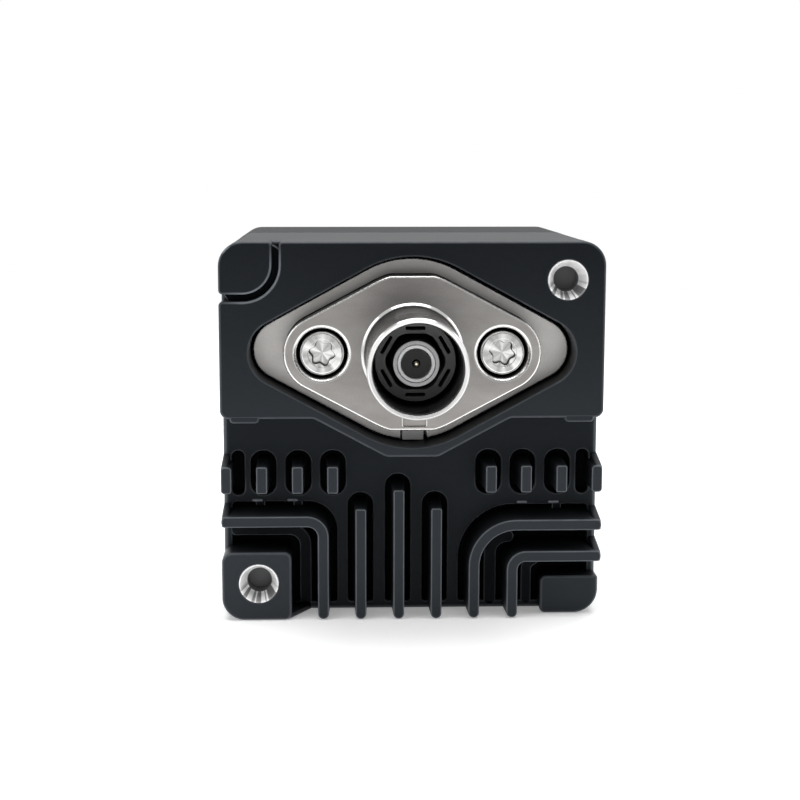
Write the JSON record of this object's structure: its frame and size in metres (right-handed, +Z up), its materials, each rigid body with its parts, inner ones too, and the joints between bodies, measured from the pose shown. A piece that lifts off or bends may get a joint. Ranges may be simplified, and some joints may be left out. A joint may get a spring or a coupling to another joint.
{
  "type": "cooled astronomy camera",
  "caption": "Compact square finned camera body with a round locking coax connector behind and a screw-in nosepiece with dust cap in front.",
  "frame": {"origin": "on the underside of the rear housing, midway across, 18 mm ahead of the back face", "axes": "-Y out of the back face with the connector, +Y along the optical axis out of the nosepiece, +Z up, +X right as the back is looked at"},
  "size_m": [0.044, 0.0777, 0.044],
  "materials": {
    "black_casting": "satin black painted die casting",
    "dark_casting": "satin dark painted die casting",
    "rubber": "matte",
    "steel": "bright turned steel",
    "flange_metal": "satin warm grey plated metal with bright edges",
    "black_plastic": "fine matte",
    "white_plastic": "smooth",
    "gold": "gold plated",
    "gasket_grey": "matte grey",
    "circuit_board": "green solder mask",
    "cream_plastic": "smooth",
    "ceramic": "white ceramic",
    "aluminium": "milled",
    "glass": "clear coated",
    "black_metal": "black anodised"
  },
  "bodies": {
    "camera_body": {"rear_housing": "black_casting", "front_housing": "dark_casting", "housing_gasket": "rubber", "insert_top_right": "steel", "insert_bottom_left": "steel", "connector_flange": "flange_metal", "connector_barrel": "steel", "coding_sleeve": "black_plastic", "coax_shell": "steel", "coax_insulator": "white_plastic", "coax_dielectric": "black_plastic", "coax_pin": "gold", "flange_gasket": "gasket_grey", "flange_screw_left": "steel", "flange_screw_right": "steel", "board_coax_socket": "steel", "main_board": "circuit_board", "serializer_chip": "black_plastic", "power_inductor": "black_plastic", "board_link_header": "black_plastic", "board_link_socket": "cream_plastic", "hot_thermal_pad": "gasket_grey", "peltier_module": "ceramic", "cold_finger": "aluminium", "sensor_board": "circuit_board", "image_sensor": "black_plastic", "sensor_glass": "glass", "optical_window": "glass", "window_seal": "rubber", "window_retainer": "black_metal", "retainer_screw_left": "steel", "retainer_screw_right": "steel", "sensor_screw_left": "steel", "sensor_screw_right": "steel", "housing_screw_1": "steel", "board_screw_1": "steel", "housing_screw_2": "steel", "board_screw_2": "steel", "housing_screw_3": "steel", "board_screw_3": "steel", "housing_screw_4": "steel", "board_screw_4": "steel"},
    "nosepiece": {"nosepiece": "black_metal", "nosepiece_seal": "rubber"},
    "dust_cap": {"dust_cap": "black_plastic"}
  },
  "joints": [
    {"name": "nosepiece_turn", "type": "hinge", "parent": "camera_body", "child": "nosepiece", "pos_m": [0, 0.0186, 0.022], "axis": [0, 1, 0], "range_deg": [0, 360]},
    {"name": "dust_cap_pull", "type": "slide", "parent": "nosepiece", "child": "dust_cap", "axis": [0, 1, 0], "range_m": [0, 0.03]}
  ]
}
